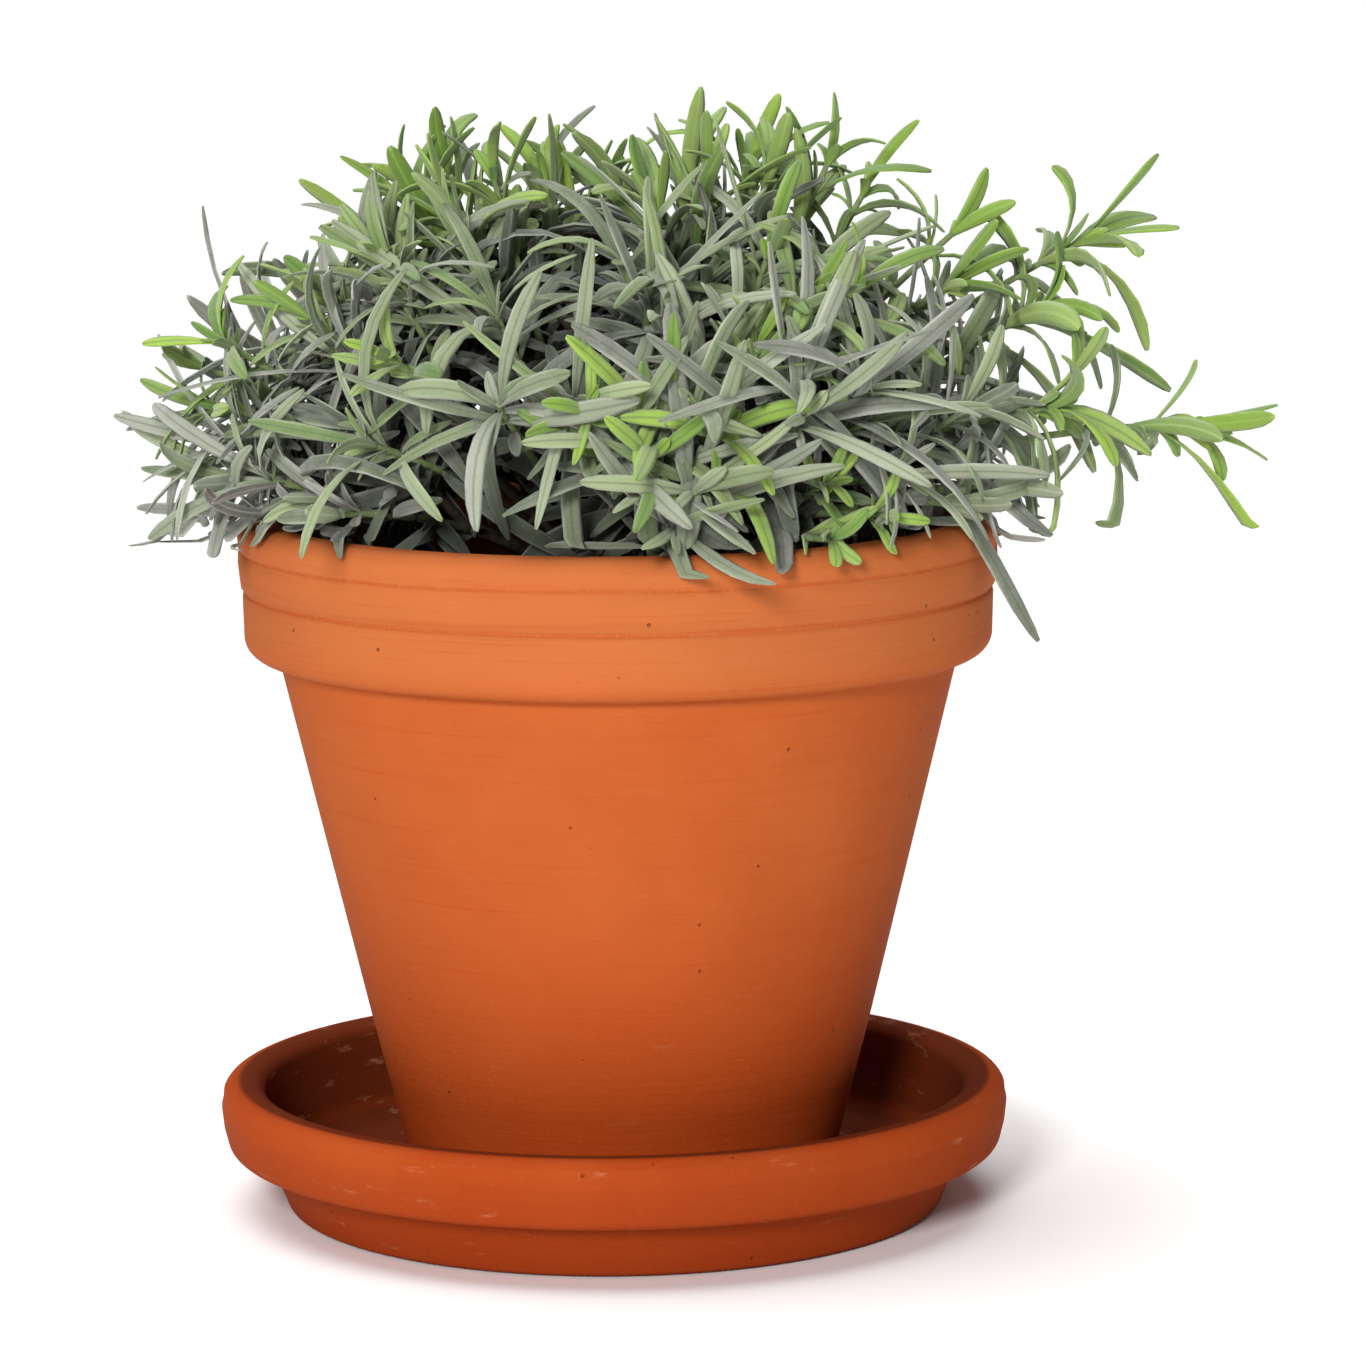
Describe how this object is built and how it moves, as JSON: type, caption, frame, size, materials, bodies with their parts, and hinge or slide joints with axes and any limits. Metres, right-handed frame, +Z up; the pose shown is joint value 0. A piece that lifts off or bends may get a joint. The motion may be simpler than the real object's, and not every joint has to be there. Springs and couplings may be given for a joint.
{
  "type": "potted lavender",
  "caption": "Bushy lavender plant growing in a collared terracotta pot that stands on a matching round saucer.",
  "frame": {"origin": "centre of the pot's axis on the surface that the saucer stands on", "axes": "+Z up, +X towards the side where the longest shoots hang out, -Y towards the front"},
  "size_m": [0.269, 0.2057, 0.272],
  "materials": {
    "terracotta": "unglazed, matte",
    "saucer_terracotta": "unglazed, dusty",
    "potting_mix": "damp crumbs",
    "bark": "rough bark",
    "foliage": "felted"
  },
  "bodies": {
    "root": {"dome_shoot_1": "foliage", "dome_shoot_10": "foliage", "dome_shoot_11": "foliage", "dome_shoot_12": "foliage", "dome_shoot_13": "foliage", "dome_shoot_14": "foliage", "dome_shoot_15": "foliage", "dome_shoot_16": "foliage", "dome_shoot_17": "foliage", "dome_shoot_18": "foliage", "dome_shoot_19": "foliage", "dome_shoot_2": "foliage", "dome_shoot_20": "foliage", "dome_shoot_21": "foliage", "dome_shoot_22": "foliage", "dome_shoot_23": "foliage", "dome_shoot_24": "foliage", "dome_shoot_25": "foliage", "dome_shoot_26": "foliage", "dome_shoot_3": "foliage", "dome_shoot_4": "foliage", "dome_shoot_5": "foliage", "dome_shoot_6": "foliage", "dome_shoot_7": "foliage", "dome_shoot_8": "foliage", "dome_shoot_9": "foliage", "green_shoot_1": "foliage", "green_shoot_10": "foliage", "green_shoot_11": "foliage", "green_shoot_12": "foliage", "green_shoot_13": "foliage", "green_shoot_14": "foliage", "green_shoot_15": "foliage", "green_shoot_2": "foliage", "green_shoot_3": "foliage", "green_shoot_4": "foliage", "green_shoot_5": "foliage", "green_shoot_6": "foliage", "green_shoot_7": "foliage", "green_shoot_8": "foliage", "green_shoot_9": "foliage", "grey_shoot_1": "foliage", "grey_shoot_2": "foliage", "pot": "terracotta", "potting_mix": "potting_mix", "rim_shoot_1": "foliage", "rim_shoot_2": "foliage", "rim_shoot_3": "foliage", "rim_shoot_4": "foliage", "rim_shoot_5": "foliage", "rim_shoot_6": "foliage", "saucer": "saucer_terracotta", "trailing_shoot_1": "foliage", "trailing_shoot_2": "foliage", "trailing_shoot_3": "foliage", "trailing_shoot_4": "foliage", "woody_crown": "bark"}
  },
  "joints": []
}
